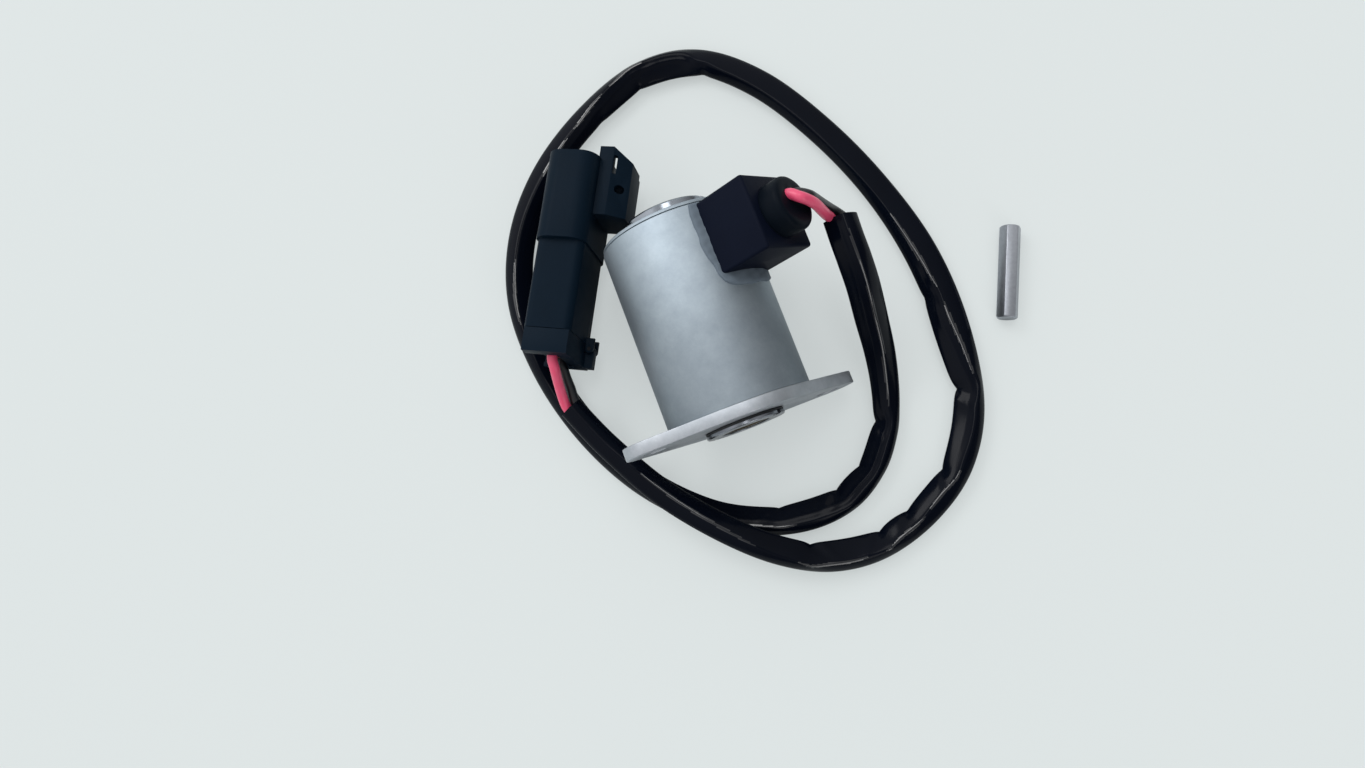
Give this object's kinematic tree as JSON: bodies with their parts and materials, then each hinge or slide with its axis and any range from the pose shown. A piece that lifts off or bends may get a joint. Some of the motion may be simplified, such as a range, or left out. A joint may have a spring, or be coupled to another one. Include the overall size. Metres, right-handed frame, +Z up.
{
  "type": "push pull solenoid",
  "caption": "Tubular push pull solenoid with a mounting flange, potted terminal block, sleeved leads, a sealed connector half and a loose hexagonal push pin.",
  "frame": {"origin": "plunger axis at the flange's mounting face, centre of the two bolt holes", "axes": "+Y along the plunger axis from the mounting face to the rear, +Z up from the surface that the part lies on, +X towards the terminal block side"},
  "size_m": [0.1257, 0.1376, 0.0428],
  "materials": {
    "zinc_steel": "satin zinc plate",
    "bright_steel": "fine turned",
    "pin_steel": "bright drawn",
    "chrome_ring": "bright",
    "core_steel": "turned",
    "spring_steel": "drawn wire",
    "bronze": "sintered",
    "brass": "satin",
    "copper_wire": "enamelled",
    "tape": "smooth",
    "bobbin_plastic": "moulded",
    "black_plastic": "moulded",
    "connector_plastic": "moulded",
    "black_rubber": "satin",
    "seal_rubber": "matt",
    "seal_silicone": "smooth",
    "grey_sealant": "matt",
    "red_insulation": "satin",
    "black_insulation": "satin",
    "black_sleeve": "gloss"
  },
  "bodies": {
    "solenoid_body": {"housing_tube": "zinc_steel", "mounting_flange": "zinc_steel", "pilot_spigot": "bright_steel", "pilot_seal": "seal_rubber", "front_bush": "bronze", "end_cap": "zinc_steel", "rear_collar": "chrome_ring", "pole_piece": "core_steel", "rod_bush": "bronze", "guide_tube": "brass", "front_flux_ring": "core_steel", "coil_bobbin": "bobbin_plastic", "coil_winding": "copper_wire", "winding_tape": "tape", "stop_washer": "seal_rubber", "return_spring": "spring_steel", "terminal_block": "black_plastic", "block_grommet": "black_rubber", "sealant_bead": "grey_sealant", "terminal_tags": "brass", "coil_tails": "copper_wire", "red_block_lead": "red_insulation", "black_block_lead": "black_insulation", "lead_sleeve": "black_sleeve", "red_plug_lead": "red_insulation", "black_plug_lead": "black_insulation", "connector_shroud": "connector_plastic", "connector_pins": "brass", "cable_seals": "seal_silicone", "cover_hinge_pin": "bright_steel"},
    "moving_core": {"plunger": "core_steel", "push_rod": "bright_steel"},
    "rear_cover": {"connector_rear_cover": "connector_plastic"},
    "loose_pin": {"push_pin": "pin_steel"}
  },
  "joints": [
    {"name": "plunger_slide", "type": "slide", "parent": "solenoid_body", "child": "moving_core", "axis": [0, 1, 0], "range_m": [0, 0.008], "stiffness_N_per_m": 500, "springref_m": -0.006, "deforming": ["return_spring"]},
    {"name": "rear_cover_hinge", "type": "hinge", "parent": "solenoid_body", "child": "rear_cover", "pos_m": [-0.02776, 0.02929, -0.00817], "axis": [-0.0945, 0.1386, 0.9858], "range_deg": [0, 38]},
    {"name": "push_pin_lift", "type": "slide", "parent": "solenoid_body", "child": "loose_pin", "axis": [0, 0, 1], "range_m": [0, 0.05]}
  ]
}
